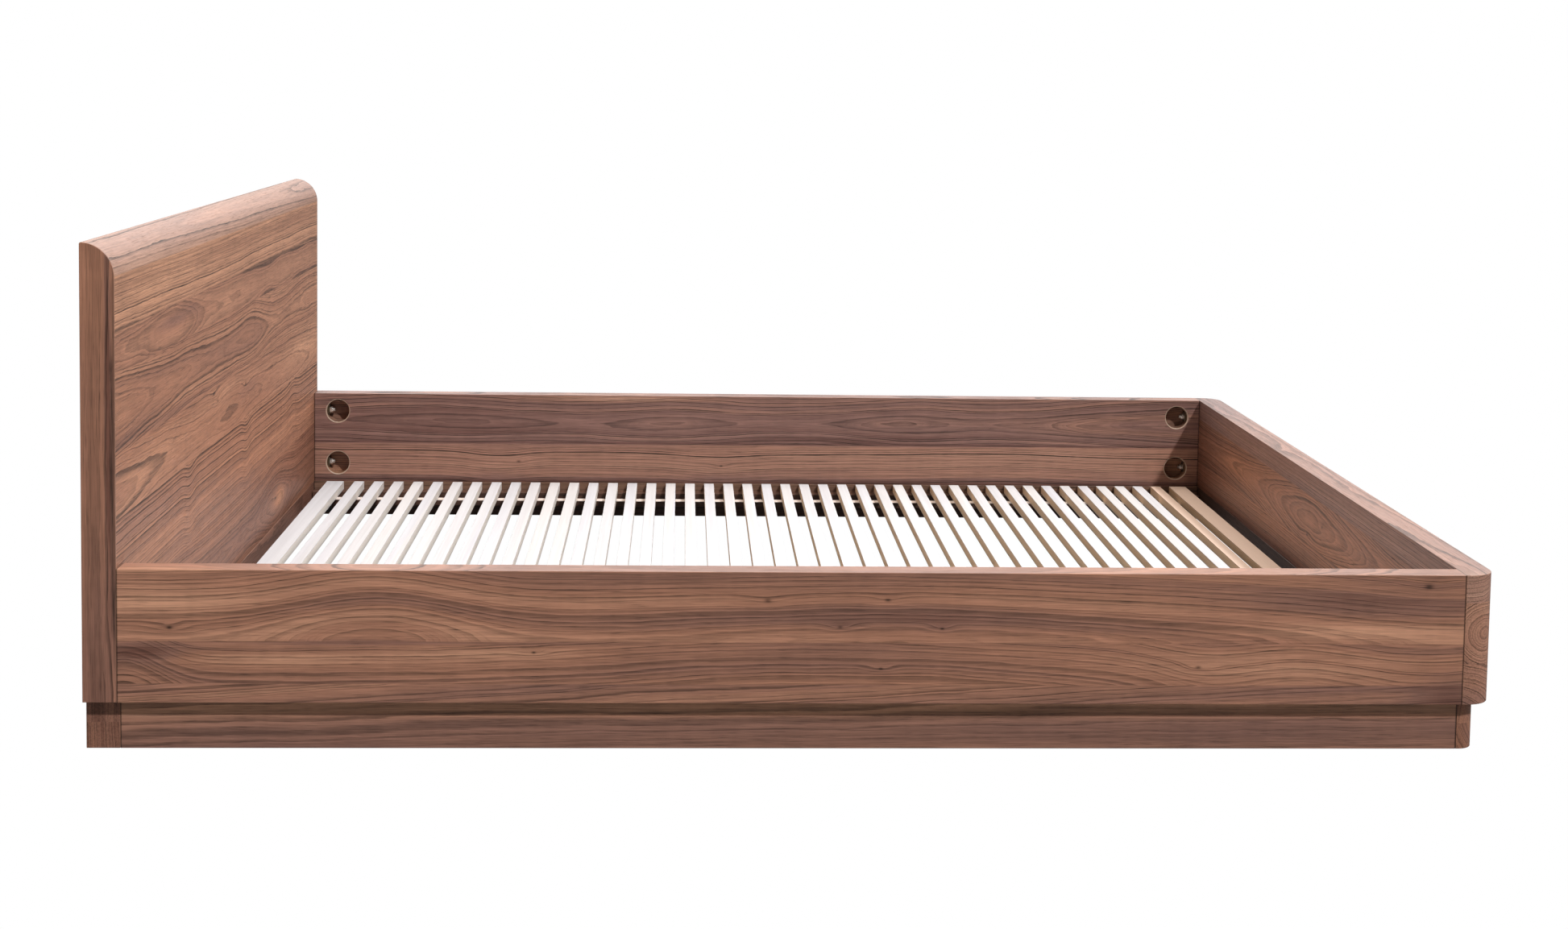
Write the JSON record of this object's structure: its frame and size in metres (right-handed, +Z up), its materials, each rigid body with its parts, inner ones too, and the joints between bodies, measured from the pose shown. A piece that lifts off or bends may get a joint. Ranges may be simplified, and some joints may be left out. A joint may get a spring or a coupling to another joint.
{
  "type": "panel bed frame",
  "caption": "Low walnut panel bed: headboard with quarter-round top edge, side rails and rounded footboard on a recessed plinth, and a lift-out base of thin ply slats on cloth tapes.",
  "frame": {"origin": "on the floor, under the middle of the bed's outline", "axes": "+X from the headboard to the foot, +Y to the left of a person lying in the bed, +Z up"},
  "size_m": [2.12, 1.7, 0.7569],
  "materials": {
    "walnut": "oiled, satin",
    "birch_ply": "sanded, bare",
    "beech": "planed, bare",
    "cotton_tape": "woven",
    "zinc_plated_steel": "zinc plated",
    "pressed_steel": "black powder coat",
    "black_plastic": "moulded"
  },
  "bodies": {
    "frame": {"beam_hanger_foot": "pressed_steel", "beam_hanger_head": "pressed_steel", "bracket_screws": "zinc_plated_steel", "centre_beam": "beech", "centre_foot_1": "black_plastic", "centre_foot_2": "black_plastic", "centre_foot_3": "black_plastic", "corner_bracket_foot_left": "pressed_steel", "corner_bracket_foot_right": "pressed_steel", "corner_bracket_head_left": "pressed_steel", "corner_bracket_head_right": "pressed_steel", "foot_screws": "zinc_plated_steel", "footboard": "walnut", "half_moon_washers": "zinc_plated_steel", "hanger_screws": "zinc_plated_steel", "headboard_lipping_left": "walnut", "headboard_lipping_right": "walnut", "headboard_nosing": "walnut", "headboard_panel": "walnut", "ledge_screws": "zinc_plated_steel", "plinth_foot": "walnut", "plinth_head": "walnut", "plinth_screws": "zinc_plated_steel", "plinth_side_left": "walnut", "plinth_side_right": "walnut", "rail_dowels": "beech", "rail_studs": "zinc_plated_steel", "side_rail_left": "walnut", "side_rail_right": "walnut", "slat_ledge_left": "walnut", "slat_ledge_right": "walnut", "stud_inserts": "zinc_plated_steel", "stud_nuts": "zinc_plated_steel"},
    "slat_base": {"slats": "birch_ply", "slat_head_end": "birch_ply", "slat_foot_end": "birch_ply", "slat_tape_left": "cotton_tape", "slat_tape_right": "cotton_tape", "tape_staples": "zinc_plated_steel"}
  },
  "joints": [
    {"name": "slat_base_lift", "type": "slide", "parent": "frame", "child": "slat_base", "axis": [0, 0, 1], "range_m": [0, 0.72]}
  ]
}
